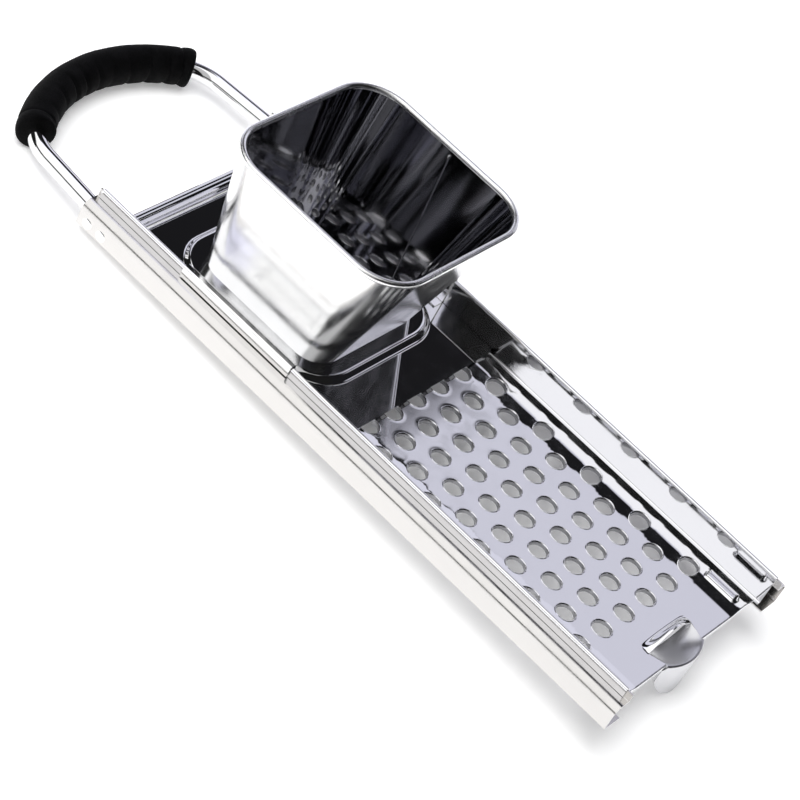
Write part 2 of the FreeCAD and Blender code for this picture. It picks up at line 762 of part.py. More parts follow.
def make_clip_spots():
    """Two spots on the foot of each clip."""
    spots = []
    for side, word in ((LEFT, "Left"), (RIGHT, "Right")):
        for end in (-1, 1):
            mark = "Rear" if end < 0 else "Front"
            spots.append(add_cylinder(f"{word}ClipSpot{mark}", "ClipSpotDiameter / 2", "SpotHeight",
                                      f"BaseMiddle + {end} * ClipSpotSpacing / 2",
                                      f"{side} * (ClipRiser - ClipFoot / 2)",
                                      "BaseTop + SheetGauge"))
    return gather("ClipSpots", spots)


parts = {
    "perforated_plate": make_plate(),
    "left_rail_cover": make_cover(LEFT, "LeftCover"),
    "right_rail_cover": make_cover(RIGHT, "RightCover"),
    "handle_rod": sweep_round("Rod", loop_edges(), "RodDiameter / 2"),
    "grip_sleeve": make_grip(),
    "cross_bar": make_bar(),
    "cross_bar_welds": make_bar_welds(),
    "rail_spot_welds": make_rail_spots(),
    "hopper_cup": make_cup(),
    "hopper_rim_wire": make_rim_wire(),
    "hopper_base": make_base(),
    "left_guide_clip": make_clip(LEFT, "LeftClip"),
    "right_guide_clip": make_clip(RIGHT, "RightClip"),
    "clip_spot_welds": make_clip_spots(),
}
for label, thing in parts.items():
    thing.Label = label

doc.recompute()
failed = [thing.Label for thing in doc.Objects if {"Invalid", "Error"} & set(thing.State)]
for label, thing in parts.items():
    shape = thing.Shape
    if shape.isNull() or not shape.isValid() or not shape.Solids:
        failed.append(label)
if failed:
    raise SystemExit(f"failed: {', '.join(failed)}")

os.makedirs("parts", exist_ok=True)
for label, thing in parts.items():
    thing.Shape.exportStep(os.path.join("parts", f"{label}.step"))
    box = thing.Shape.BoundBox
    print(f"{label}: {len(thing.Shape.Solids)} solid(s), {thing.Shape.Volume:.1f} mm3, "
          f"x {box.XMin:.2f}..{box.XMax:.2f} y {box.YMin:.2f}..{box.YMax:.2f} "
          f"z {box.ZMin:.2f}..{box.ZMax:.2f}")
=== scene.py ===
import bpy
import math
from mathutils import Matrix, Vector, noise


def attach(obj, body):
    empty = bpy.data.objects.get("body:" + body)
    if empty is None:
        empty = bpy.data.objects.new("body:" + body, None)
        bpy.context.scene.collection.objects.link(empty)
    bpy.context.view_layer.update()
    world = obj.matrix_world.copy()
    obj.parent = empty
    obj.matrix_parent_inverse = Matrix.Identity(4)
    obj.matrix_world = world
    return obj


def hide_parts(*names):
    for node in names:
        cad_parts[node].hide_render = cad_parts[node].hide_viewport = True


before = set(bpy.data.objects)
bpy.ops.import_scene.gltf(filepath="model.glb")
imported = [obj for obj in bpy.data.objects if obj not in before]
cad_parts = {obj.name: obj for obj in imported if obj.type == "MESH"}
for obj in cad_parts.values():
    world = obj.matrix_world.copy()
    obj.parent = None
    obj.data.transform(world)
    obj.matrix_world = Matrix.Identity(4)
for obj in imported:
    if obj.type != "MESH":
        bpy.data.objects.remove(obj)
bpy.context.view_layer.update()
bpy.context.scene.view_settings.view_transform = "Standard"
across = Vector((1, 0, 0))  # the rails' own direction
upright = Vector((0, 0, 1))

# the whole tool, in millimetres like every piece below
tool = {
    "gauge": 0.6, "deckTop": 17.0, "wallInside": 46.3, "wallTop": 30.5, "hemFoot": 26.5,
    "railRear": -101.25, "railFront": 160.75, "deckRear": -83.6, "deckFront": 156.35,
    "rodOffset": 50.45, "rodHeight": 22.2, "rodRadius": 3.5,
    "baseMiddle": -30.35, "footMiddle": -33.4, "rimMiddle": -27.4,
    # points this close together count as one
    "touch": 0.01,
}
metresPerMillimetre = 0.001


# ways of working that every piece shares
def editMode(selectAll=True):
    bpy.ops.object.mode_set(mode="EDIT")
    if selectAll:
        bpy.ops.mesh.select_all(action="SELECT")


def objectMode():
    bpy.ops.object.mode_set(mode="OBJECT")


def clearSelection():
    bpy.ops.object.select_all(action="DESELECT")


def pickOnly(*pieces):
    clearSelection()
    for piece in pieces:
        piece.select_set(True)
    bpy.context.view_layer.objects.active = pieces[0]


def pickVertices(piece, wanted):
    # selects the vertices that pass a test of their number and place
    mesh = piece.data
    for item in [*mesh.polygons, *mesh.edges]:
        item.select = False
    for vertex in mesh.vertices:
        vertex.select = wanted(vertex.index, vertex.co)


def addMaterials(piece, materials):
    for material in materials:
        piece.data.materials.append(material)


def joinPieces(pieces):
    pickOnly(*pieces)
    bpy.ops.object.join()
    return bpy.context.object


def settle():
    bpy.ops.object.transform_apply(location=True, rotation=True, scale=True)
    return bpy.context.object


def applyModifier(piece, kind, **settings):
    pickOnly(piece)
    modifier = piece.modifiers.new(kind.title(), kind)
    for name, setting in settings.items():
        setattr(modifier, name, setting)
    bpy.ops.object.modifier_apply(modifier=modifier.name)
    return piece


def copyPiece(piece):
    double = piece.copy()
    double.data = piece.data.copy()
    bpy.context.collection.objects.link(double)
    return double


def oppositeHand(piece):
    # a copy with its own mesh, turned over to the right side of the tool
    other = copyPiece(piece)
    other.scale.y = -1
    pickOnly(other)
    settle()
    return faceOutwards(other)


def mirrorAcross(piece):
    # the same shape on the other side of the tool's long middle plane
    return applyModifier(piece, "MIRROR", use_axis=(False, True, False), use_mirror_merge=False)


def leadAlong(place, heading, axis, legs, stepAngle=11.25):
    # leads the selected face along straight runs and round bends of one plane
    place, heading = Vector(place), Vector(heading)
    for leg in legs:
        if len(leg) == 1:
            shift = heading * leg[0]
            bpy.ops.mesh.extrude_region_move(TRANSFORM_OT_translate={"value": shift})
            place = place + shift
        else:
            angle, radius = math.radians(leg[0]), leg[1]
            centre = place + axis.cross(heading) * math.copysign(radius, angle)
            steps = max(2, math.ceil(abs(leg[0]) / stepAngle))
            # spin counts its angle the other way round
            bpy.ops.mesh.spin(steps=steps, angle=-angle, center=centre, axis=axis)
            turn = Matrix.Rotation(angle, 3, axis)
            place, heading = centre + turn @ (place - centre), turn @ heading
    return place


def foldStrip(rear, front, start, heading, legs, gauge=tool["gauge"]):
    # a strip of sheet: its edge is a long thin face that is led through the folds
    angle = math.radians(heading)
    place = Vector(((rear + front) / 2, *start))
    bpy.ops.mesh.primitive_plane_add(size=1, location=place, rotation=(angle - math.pi / 2, 0, 0))
    bpy.context.object.scale = (front - rear, gauge, 1)
    strip = settle()
    editMode()
    leadAlong(place, (0, math.cos(angle), math.sin(angle)), across, legs)
    bpy.ops.mesh.select_all(action="SELECT")
    bpy.ops.mesh.normals_make_consistent(inside=False)
    objectMode()
    return strip


def leadRound(start, heading, legs, radius, sides, stepAngle):
    # a round bar or tube: a disc that is led through level runs and bends
    heading = Vector(heading)
    bpy.ops.mesh.primitive_circle_add(vertices=sides, radius=radius, fill_type="NGON", location=start,
                                      rotation=heading.to_track_quat("Z", "X").to_euler())
    bar = settle()
    editMode()
    end = leadAlong(start, heading, upright, legs, stepAngle)
    objectMode()
    return bar, end


def addRounded(length, width, radius, x, z, steps=8):
    # the edges of a rounded rectangle, level at a height
    bpy.ops.mesh.primitive_plane_add(size=1, location=(x, 0, z))
    bpy.context.object.scale = (length, width, 1)
    outline = settle()
    editMode()
    bpy.ops.mesh.bevel(offset=radius, segments=steps, affect="VERTICES")
    bpy.ops.mesh.delete(type="ONLY_FACE")
    objectMode()
    return outline


def addRing(radius, z, sides):
    bpy.ops.mesh.primitive_circle_add(vertices=sides, radius=radius, location=(0, 0, z))
    return settle()


def bridgeOutlines(outlines):
    # joins outlines in order, with faces between each one and the next
    piece, last = outlines[0], 0
    for outline in outlines[1:]:
        first = len(piece.data.vertices)
        piece = joinPieces([piece, outline])
        pickVertices(piece, lambda index, co: index >= last)
        editMode(selectAll=False)
        bpy.ops.mesh.bridge_edge_loops()
        objectMode()
        last = first
    return piece


def faceOutwards(piece, inside=False):
    pickOnly(piece)
    editMode()
    bpy.ops.mesh.normals_make_consistent(inside=inside)
    objectMode()
    return piece


def faceUpwards(sheet):
    # an open sheet with its outer side up, before it gets its thickness
    faceOutwards(sheet)
    if sheet.data.polygons[0].normal.z < 0:
        faceOutwards(sheet, inside=True)
    return sheet


def finishPiece(piece, name, body, material, nodes=(), smoothAngle=40, weighted=True, others=()):
    # millimetres become metres, then the piece joins the frame
    piece.name = name
    pickOnly(piece)
    piece.scale = (metresPerMillimetre,) * 3
    settle()
    bpy.ops.object.shade_smooth_by_angle(angle=math.radians(smoothAngle))
    if weighted:
        applyModifier(piece, "WEIGHTED_NORMAL", keep_sharp=True, weight=100)
    marks = [face.material_index for face in piece.data.polygons]
    piece.data.materials.clear()
    addMaterials(piece, [material, *others])
    if others:
        piece.data.polygons.foreach_set("material_index", marks)
    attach(piece, body)
    if nodes:
        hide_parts(*nodes)
    print("made", name, len(piece.data.polygons), "faces")
    return piece


# nodes of a material or of the world, each made, set and linked in one call
def addNode(tree, kind, inputs=(), **settings):
    node = tree.nodes.new(kind)
    for name, setting in settings.items():
        setattr(node, name, setting)
    for name, source in dict(inputs).items():
        if isinstance(source, bpy.types.NodeSocket):
            tree.links.new(source, node.inputs[name])
        else:
            node.inputs[name].default_value = source
    return node


def smoothRange(tree, source, low, high, start=0.0, end=1.0):
    node = addNode(tree, "ShaderNodeMapRange", {0: source, 1: low, 2: high, 3: start, 4: end},
                   interpolation_type="SMOOTHSTEP")
    return node.outputs[0]


def maths(tree, operation, first, second=0.0):
    return addNode(tree, "ShaderNodeMath", {0: first, 1: second}, operation=operation).outputs[0]


def addNoise(tree, place, scale, detail):
    return addNode(tree, "ShaderNodeTexNoise", {"Vector": place, "Scale": scale, "Detail": detail})


# materials
def newMaterial(name):
    material = bpy.data.materials.new(name)
    material.use_nodes = True
    shader = material.node_tree.nodes["Principled BSDF"]
    place = addNode(material.node_tree, "ShaderNodeTexCoord").outputs["Object"]
    return material, material.node_tree, shader, place


steelDetail = {"lineStretch": (60, 2400, 2400), "hazeScale": 140.0, "hazeRange": (0.35, 0.7)}


def makeSteel(name, finish):
    # polished sheet: faint lines along the rolling direction, soft waves and hazy patches
    material, tree, shader, place = newMaterial(name)
    shader.inputs["Base Color"].default_value = (*finish["colour"], 1)
    shader.inputs["Metallic"].default_value = 1
    stretch = addNode(tree, "ShaderNodeMapping", {"Vector": place, "Scale": steelDetail["lineStretch"]})
    lines = addNoise(tree, stretch.outputs[0], 1.0, 2.0)
    waves = addNoise(tree, place, finish["waveScale"], 1.0)
    haze = addNoise(tree, place, steelDetail["hazeScale"], 4.0)
    roughness = smoothRange(tree, haze.outputs[0], *steelDetail["hazeRange"], *finish["roughness"])
    tree.links.new(roughness, shader.inputs["Roughness"])
    wavy = addNode(tree, "ShaderNodeBump", {"Height": waves.outputs[0], "Distance": finish["waveHeight"]})
    fine = addNode(tree, "ShaderNodeBump", {"Height": lines.outputs[0], "Distance": finish["lineHeight"],
                                            "Normal": wavy.outputs[0]})
    tree.links.new(fine.outputs[0], shader.inputs["Normal"])
    return material


def makeSleeveMaterial(finish):
    # soft matt foam skin: fine grain, faint lighter dust in soft random patches
    material, tree, shader, place = newMaterial("softSleeve")
    grain = addNoise(tree, place, finish["grainScale"], 3.0)
    cloud = addNoise(tree, place, finish["dustScale"], 3.0)
    dust = smoothRange(tree, cloud.outputs[0], *finish["dustRange"])
    mixed = addNode(tree, "ShaderNodeMix", {"Factor": dust}, data_type="RGBA")
    mixed.inputs["A"].default_value = (*finish["dark"], 1)
    mixed.inputs["B"].default_value = (*finish["light"], 1)
    tree.links.new(mixed.outputs["Result"], shader.inputs["Base Color"])
    roughness = smoothRange(tree, grain.outputs[0], *finish["grainRange"], *finish["roughness"])
    tree.links.new(roughness, shader.inputs["Roughness"])
    shader.inputs["Specular IOR Level"].default_value = finish["shine"]
    bump = addNode(tree, "ShaderNodeBump", {"Height": grain.outputs[0], "Distance": finish["grainHeight"],
                                            "Strength": finish["grainStrength"]})
    tree.links.new(bump.outputs[0], shader.inputs["Normal"])
    return material


sheetSteel = makeSteel("polishedSheet", {"colour": (0.69, 0.675, 0.66), "roughness": (0.18, 0.26),
                                         "waveScale": 30.0, "waveHeight": 0.000008, "lineHeight": 0.0000001})
cupSteel = makeSteel("softMirror", {"colour": (0.94, 0.94, 0.94), "roughness": (0.14, 0.2),
                                    "waveScale": 22.0, "waveHeight": 0.000008, "lineHeight": 0.0})
flangeSteel = makeSteel("mirrorSheet", {"colour": (0.84, 0.84, 0.85), "roughness": (0.01, 0.03),
                                        "waveScale": 22.0, "waveHeight": 0.000006, "lineHeight": 0.0})
# the cup's inside: the same steel, made darker as painted shade
cupInsidePaintedShade = makeSteel("cupInsidePaintedShade", {"colour": (0.44, 0.44, 0.46), "roughness": (0.05, 0.07),
                                    "waveScale": 22.0, "waveHeight": 0.000004, "lineHeight": 0.0})
satinSteel = makeSteel("satinSheet", {"colour": (0.68, 0.68, 0.7), "roughness": (0.3, 0.4),
                                      "waveScale": 40.0, "waveHeight": 0.000004, "lineHeight": 0.0000002})
wireSteel = makeSteel("rimWire", {"colour": (0.95, 0.95, 0.95), "roughness": (0.22, 0.3),
                                  "waveScale": 60.0, "waveHeight": 0.000004, "lineHeight": 0.0000001})
# the hole walls: darker steel as painted shade inside the holes
collarShadeSteel = makeSteel("collarPaintedShade", {"colour": (0.42, 0.42, 0.44), "roughness": (0.35, 0.5),
                                        "waveScale": 90.0, "waveHeight": 0.000004, "lineHeight": 0.0})
seamSteel = makeSteel("seam", {"colour": (0.5, 0.5, 0.52), "roughness": (0.15, 0.25),
                               "waveScale": 90.0, "waveHeight": 0.000006, "lineHeight": 0.0000002})
clipSteel = makeSteel("clipSheet", {"colour": (0.94, 0.94, 0.94), "roughness": (0.02, 0.05),
                                    "waveScale": 30.0, "waveHeight": 0.000004, "lineHeight": 0.0000001})
deckSteel = makeSteel("satinDeck", {"colour": (0.82, 0.82, 0.84), "roughness": (0.05, 0.10),
                                    "waveScale": 40.0, "waveHeight": 0.000006, "lineHeight": 0.0000002})
barSteel = makeSteel("polishedBar", {"colour": (0.82, 0.82, 0.83), "roughness": (0.03, 0.07),
                                     "waveScale": 90.0, "waveHeight": 0.00001, "lineHeight": 0.0000001})
sleeveFoam = makeSleeveMaterial({
    "dark": (0.0004, 0.0004, 0.0006), "light": (0.002, 0.002, 0.0024), "roughness": (0.7, 0.9), "shine": 0.12,
    "dustScale": 180.0, "dustRange": (0.35, 0.75),
    "grainScale": 2600.0, "grainRange": (0.3, 0.7), "grainHeight": 0.00008, "grainStrength": 0.5,
})
print("materials made")


# the camera, and the studio's floor, sky and lamp
cameraSetup = {
    "lens": 141.19, "sensor": 36.0, "place": (0.32765, -0.80079, 0.73685),
    "right": (0.69888, 0.60918, 0.37477), "up": (-0.66034, 0.34825, 0.66534),
    "back": (0.27480, -0.71247, 0.64565), "nearest": 0.01,
}


def addCamera(setup):
    bpy.ops.object.camera_add()
    camera = bpy.context.object
    camera.data.lens = setup["lens"]
    camera.data.sensor_width = setup["sensor"]
    camera.data.clip_start = setup["nearest"]
    axes = Matrix((setup["right"], setup["up"], setup["back"])).transposed()
    camera.matrix_world = Matrix.Translation(setup["place"]) @ axes.to_4x4()
    bpy.context.scene.camera = camera


studio = {
    "black": 0.012, "soft": 0.03, "edge": 0.02, "sharp": 0.01, "panelSharp": 0.004,
    # where the near side of the sky passes into the far side
    "farFrom": (0.15, 0.25),
    # a white ceiling strip over the rails, and a greyer one beside it towards the front
    "whiteStrip": (-0.80, 0.02, 1.3), "greyStrip": (0.02, 0.36, 0.6),
    # the near side: a dark room between the white floor and the white ceiling
    "roomLow": 0.19, "roomHigh": 0.40,
    # far side, from the horizon up: a grey wall, a black band with one lavender panel
    "farWall": (-0.90, 0.30, 0.85), "farWallTop": 0.50,
    "bandTop": 0.78, "zenithTop": 0.97, "highEdge": -0.30,
    "panelSlant": 0.28, "panelEdge": -0.4665, "panelEnd": -0.04, "panelLevel": 0.76,
    "panelColour": (0.93, 0.93, 1.06),
    # a card in front of the tool, seen in the front of the cup
    "cardX": (0.36, 0.52), "cardZ": (0.46, 0.62), "cardLevel": 0.8,
    "floorSize": 6, "floorTilt": 2.8, "floorTouch": 0.1595, "floorDrop": -0.0002,
    "floorColour": (0.95, 0.95, 0.95), "floorRoughness": 0.9, "floorGlow": 0.3,
    # the floor under the deck: a painted shadow, its glow turned down in a box under the tool
    "paintedShadowX": (-0.255, -0.018), "paintedShadowY": (-0.026, 0.07), "paintedShadowSoft": 0.008, "paintedShadowGlow": 0.2,
    "lampPlace": (-0.25, -0.35, 1.3), "lampSize": 1.5, "lampEnergy": 15,
}


def window(tree, source, low, high, soft):
    # one between two limits, with soft edges
    rise = smoothRange(tree, source, low - soft, low + soft)
    fall = smoothRange(tree, source, high - soft, high + soft, 1.0, 0.0)
    return maths(tree, "MULTIPLY", rise, fall)


def lightWorld(setup):
    world = bpy.data.worlds.new("studio")
    bpy.context.scene.world = world
    world.use_nodes = True
    tree = world.node_tree
    tree.nodes.clear()
    direction = addNode(tree, "ShaderNodeTexCoord").outputs["Generated"]
    x, y, z = addNode(tree, "ShaderNodeSeparateXYZ", {0: direction}).outputs
    soft, edge, sharp = setup["soft"], setup["edge"], setup["sharp"]

    def zone(name):
        low, high, level = setup[name]
        return maths(tree, "MULTIPLY", window(tree, x, low, high, soft), level)

    ceiling = maths(tree, "ADD", zone("whiteStrip"), zone("greyStrip"))
    room = window(tree, z, setup["roomLow"], setup["roomHigh"], edge)
    nearSide = maths(tree, "MULTIPLY", ceiling, maths(tree, "SUBTRACT", 1.0, room))
    far = smoothRange(tree, y, *setup["farFrom"])
    lowWall = maths(tree, "MULTIPLY", zone("farWall"), smoothRange(
        tree, z, setup["farWallTop"] - soft, setup["farWallTop"] + soft, 1.0, 0.0))
    band = window(tree, z, setup["farWallTop"], setup["bandTop"], soft)
    slanted = maths(tree, "SUBTRACT", x, maths(tree, "MULTIPLY", y, setup["panelSlant"]))
    panelEdge = smoothRange(tree, slanted, setup["panelEdge"] - setup["panelSharp"],
                            setup["panelEdge"] + setup["panelSharp"])
    panelEnd = smoothRange(tree, x, setup["panelEnd"] - soft, setup["panelEnd"] + soft, 1.0, 0.0)
    panel = maths(tree, "MULTIPLY", maths(tree, "MULTIPLY", panelEdge, panelEnd), setup["panelLevel"])
    panel = maths(tree, "MULTIPLY", panel, band)
    zenith = smoothRange(tree, z, setup["zenithTop"] - sharp, setup["zenithTop"] + sharp)
    behind = maths(tree, "MULTIPLY", smoothRange(tree, z, setup["bandTop"], setup["bandTop"] + soft),
                   smoothRange(tree, x, setup["highEdge"] - sharp, setup["highEdge"] + sharp, 1.0, 0.0))
    overhead = maths(tree, "MULTIPLY", ceiling, maths(tree, "MAXIMUM", zenith, behind))
    card = maths(tree, "MULTIPLY", window(tree, x, *setup["cardX"], edge),
                 window(tree, z, *setup["cardZ"], edge))
    panel = maths(tree, "MAXIMUM", panel, maths(tree, "MULTIPLY", card, setup["cardLevel"]))
    farSide = maths(tree, "ADD", maths(tree, "ADD", lowWall, panel), overhead)
    level = addNode(tree, "ShaderNodeMix", {"Factor": far, "A": nearSide, "B": farSide}).outputs["Result"]
    level = maths(tree, "MAXIMUM", level, setup["black"])
    tint = addNode(tree, "ShaderNodeMix", {"Factor": far}, data_type="RGBA")
    tint.inputs["A"].default_value = (1, 1, 1, 1)
    tint.inputs["B"].default_value = (*setup["panelColour"], 1)
    seen = addNode(tree, "ShaderNodeLightPath").outputs["Is Camera Ray"]
    colour = addNode(tree, "ShaderNodeMix", {"Factor": seen, "A": tint.outputs["Result"]}, data_type="RGBA")
    colour.inputs["B"].default_value = (1, 1, 1, 1)
    shade = addNode(tree, "ShaderNodeBackground", {
        "Color": colour.outputs["Result"], "Strength": maths(tree, "MAXIMUM", level, seen)})
    addNode(tree, "ShaderNodeOutputWorld", {"Surface": shade.outputs[0]})


def addFloor(setup):
    # the tool leans on its tongue and its sleeve, so the floor passes under both
    bpy.ops.mesh.primitive_plane_add(size=setup["floorSize"])
    floor = bpy.context.object
    floor.name = "floor"
    tilt = Matrix.Rotation(math.radians(setup["floorTilt"]), 4, "Y")
    floor.matrix_world = Matrix.Translation((setup["floorTouch"], 0, setup["floorDrop"])) @ tilt
    material, tree, shader, place = newMaterial("paleFloor")
    shader.inputs["Base Color"].default_value = (*setup["floorColour"], 1)
    shader.inputs["Roughness"].default_value = setup["floorRoughness"]
    shader.inputs["Specular IOR Level"].default_value = 0
    # the eye and the metal see the floor as white; the shadow stays
    rays = addNode(tree, "ShaderNodeLightPath").outputs
    seen = maths(tree, "MAXIMUM", rays["Is Camera Ray"], rays["Is Glossy Ray"])
    x, y = addNode(tree, "ShaderNodeSeparateXYZ", {0: place}).outputs[:2]
    # painted shadow: the floor's glow is dimmed in a box under the deck, whatever the lamps do
    under = maths(tree, "MULTIPLY", window(tree, x, *setup["paintedShadowX"], setup["paintedShadowSoft"]),
                  window(tree, y, *setup["paintedShadowY"], setup["paintedShadowSoft"]))
    seen = maths(tree, "MULTIPLY", seen, smoothRange(tree, under, 0, 1, 1.0, setup["paintedShadowGlow"]))
    shader.inputs["Emission Color"].default_value = (1, 1, 1, 1)
    tree.links.new(maths(tree, "MULTIPLY", seen, setup["floorGlow"]), shader.inputs["Emission Strength"])
    floor.data.materials.append(material)


addCamera(cameraSetup)
lightWorld(studio)
addFloor(studio)
bpy.ops.object.light_add(type="AREA", location=studio["lampPlace"])
lamp = bpy.context.object
lamp.rotation_euler = Vector(studio["lampPlace"]).to_track_quat("Z", "Y").to_euler()
lamp.data.shape = "DISK"
lamp.data.size = studio["lampSize"]
lamp.data.energy = studio["lampEnergy"]
lamp.visible_glossy = False
print("studio set")


# the deck: drawn holes in staggered rows, two runner beads and a turned-down lip
deck = {
    "rowPitch": 12.05, "holePitch": 13.5, "wideRow": 6, "rows": 17, "firstRow": 24.0,
    "edge": 45.3, "gauge": 0.6,
    "rings": ((5.6, 0.0), (4.32, 0.002), (4.24, 0.02), (4.14, 0.11), (4.04, 0.13), (3.94, 0.1),
              (3.8, -0.02), (3.69, -0.2), (3.62, -0.42), (3.6, -0.7), (3.6, -1.6)),
    "collarRadius": 3.72,
    "beadFoot": 29.6, "beadShoulder": 35.4, "beadEdge": 38.8, "beadHeight": 1.2, "beadRound": 0.6,
    "lip": ((0.25, -0.07), (0.2, -0.2), (0.15, -0.33), (0.0, -1.6)),
    "ringSides": 32, "fillerCuts": (8, 4), "edgeSteps": 6, "apronSteps": 14, "slotSteps": 8, "rearSteps": 6,
    # where the sheet is cut finer, for the hood and for the stops
    "fineHood": (150.0, 17.0), "fineStops": (33.0, 45.0), "fineMargin": 1,
}
hook = {
    "slotRear": 149.25, "half": 13.5, "frontHalf": 11.0, "blend": 20.25,
    # the hood
    "reach": 4.4, "rise": 6.2, "peakRound": 0.22, "crest": 0.12,
    # the scoop under it and the tongue
    "under": 1.2, "scoop": 3.6, "scoopAlong": 2.2, "scoopAcross": 2.4, "lap": 0.4, "widening": 4,
    "fold": 0.8, "bend": 22.5, "tongueHalf": 13.0, "tipRadius": 14.0,
    "columns": 36, "rows": 44, "closer": 1.8,
}
stop = {"rear": 137.85, "front": 153.55, "side": 37.0, "radius": 2.0, "height": 2.4, "foot": 0.9}
# the sheet itself, the tongue, and the inside of the holes, darkened as painted shade
deckMaterials = [deckSteel, satinSteel, collarShadeSteel]


def smoothStep(low, high, value):
    share = min(max((value - low) / (high - low), 0), 1)
    return share * share * (3 - 2 * share)


def beadRise(y):
    # a soft inner slope, a level crest and an even slope down to the wall
    rise = smoothStep(deck["beadFoot"], deck["beadShoulder"], abs(y))
    past = max(0.0, abs(y) - deck["beadEdge"])
    rounded = past - deck["beadRound"] / 2 if past > deck["beadRound"] else past**2 / deck["beadRound"] / 2
    fall = rounded / (deck["edge"] - deck["beadEdge"] - deck["beadRound"] / 2)
    return deck["beadHeight"] * (rise - min(1.0, fall))


def addHoleTile(x, y):
    # one hole with its rolled rim and collar, in a square of sheet
    bpy.ops.mesh.primitive_plane_add(size=1, location=(0, 0, 0))
    bpy.context.object.scale = (deck["rowPitch"], deck["holePitch"], 1)
    square = settle()
    editMode()
    bpy.ops.mesh.delete(type="ONLY_FACE")
    bpy.ops.mesh.select_all(action="SELECT")
    bpy.ops.mesh.subdivide(number_cuts=deck["ringSides"] // 4 - 1)
    objectMode()
    rings = [addRing(radius, z, deck["ringSides"]) for radius, z in deck["rings"]]
    tile = bridgeOutlines([square, *rings])
    tile.location = (x, y, 0)
    pickOnly(tile)
    return settle()


def addField():
    # wide rows, and between them rows of one hole less with plain sheet at their ends
    firstX = tool["deckFront"] - deck["firstRow"]
    wide, rows = deck["wideRow"], deck["rows"]
    pitch, rowPitch = deck["holePitch"], deck["rowPitch"]
    blocks = []
    for offset, count in ((0, wide), (1, wide - 1)):
        tile = addHoleTile(firstX - offset * rowPitch, -(count - 1) / 2 * pitch)
        repeats = (rows + 1 - offset) // 2
        for number, step in ((count, (0, pitch, 0)), (repeats, (-2 * rowPitch, 0, 0))):
            applyModifier(tile, "ARRAY", count=number, use_relative_offset=False,
                          use_constant_offset=True, constant_offset_displace=step)
        blocks.append(tile)
    for side in (-1, 1):
        cutsX, cutsY = deck["fillerCuts"]
        bpy.ops.mesh.primitive_grid_add(x_subdivisions=cutsX, y_subdivisions=cutsY, size=1,
                                        location=(firstX - rowPitch, side * (wide - 0.5) / 2 * pitch, 0))
        bpy.context.object.scale = (rowPitch, pitch / 2, 1)
        filler = settle()
        applyModifier(filler, "ARRAY", count=rows // 2, use_relative_offset=False,
                      use_constant_offset=True, constant_offset_displace=(-2 * rowPitch, 0, 0))
        blocks.append(filler)
    return joinPieces(blocks)


def growEdge(piece, isEdge, steps):
    # carries one straight border of the sheet on in steps
    pickVertices(piece, lambda index, co: isEdge(co))
    editMode(selectAll=False)
    for step in steps:
        bpy.ops.mesh.extrude_edges_move(TRANSFORM_OT_translate={"value": step})
    objectMode()


def evenSteps(length, count):
    return [(length / count, 0, 0)] * count


def hoodRise(x, y):
    # an awning with a straight ridge on each side of a blunt peak
    side = abs(y) / hook["half"]
    back = (hook["slotRear"] - x) / hook["reach"]
    if not 0 <= back < 1 or side >= 1:
        return 0.0
    blunt = hook["peakRound"]
    arch = (math.hypot(1, blunt) - math.hypot(side, blunt)) / (math.hypot(1, blunt) - blunt)
    return hook["rise"] * arch * (1 - smoothStep(hook["crest"], 1.0, back))


def stopRise(x, y):
    # an oblong boss with round ends
    low, high = stop["rear"] + stop["radius"], stop["front"] - stop["radius"]
    gap = math.hypot(x - min(max(x, low), high), abs(y) - stop["side"])
    return stop["height"] * smoothStep(stop["radius"], stop["foot"], gap)


def pressForms(sheet):
    # the beads run straight on through the outer holes
    for vertex in sheet.data.vertices:
        co = vertex.co
        co.z += beadRise(co.y) + hoodRise(co.x, co.y) + stopRise(co.x, co.y)


def pickFaces(piece, wanted):
    mesh = piece.data
    for item in [*mesh.vertices, *mesh.edges]:
        item.select = False
    for face in mesh.polygons:
        face.select = wanted(face.center)


def refine(sheet, wanted):
    # two more cuts each way where a small form is pressed
    pickFaces(sheet, lambda co: wanted(co.x, co.y))
    bpy.ops.object.mode_set(mode="EDIT")
    bpy.ops.mesh.select_mode(type="FACE")
    bpy.ops.mesh.subdivide(number_cuts=2)
    bpy.ops.mesh.select_mode(type="VERT")
    objectMode()


def slotHalf(x):
    share = min(max((x - hook["slotRear"]) / (tool["deckFront"] - hook["slotRear"]), 0), 1)
    return hook["half"] + (hook["frontHalf"] - hook["half"]) * share


def openSlot(sheet):
    # the slot narrows towards the front edge
    pickFaces(sheet, lambda co: co.x > hook["slotRear"] and abs(co.y) < hook["half"])
    bpy.ops.object.mode_set(mode="EDIT")
    bpy.ops.mesh.select_mode(type="FACE")
    bpy.ops.mesh.delete(type="FACE")
    bpy.ops.mesh.select_mode(type="VERT")
    objectMode()
    for vertex in sheet.data.vertices:
        co = vertex.co
        if co.x > hook["slotRear"] and abs(co.y) < hook["blend"]:
            inward = hook["half"] - slotHalf(co.x)
            co.y -= math.copysign(inward * smoothStep(hook["blend"], hook["half"], abs(co.y)), co.y)


def tongueFront(y):
    depth = hook["bend"]
    return tool["deckFront"] + math.sqrt(depth**2 - y**2) - math.sqrt(depth**2 - hook["tongueHalf"] ** 2)


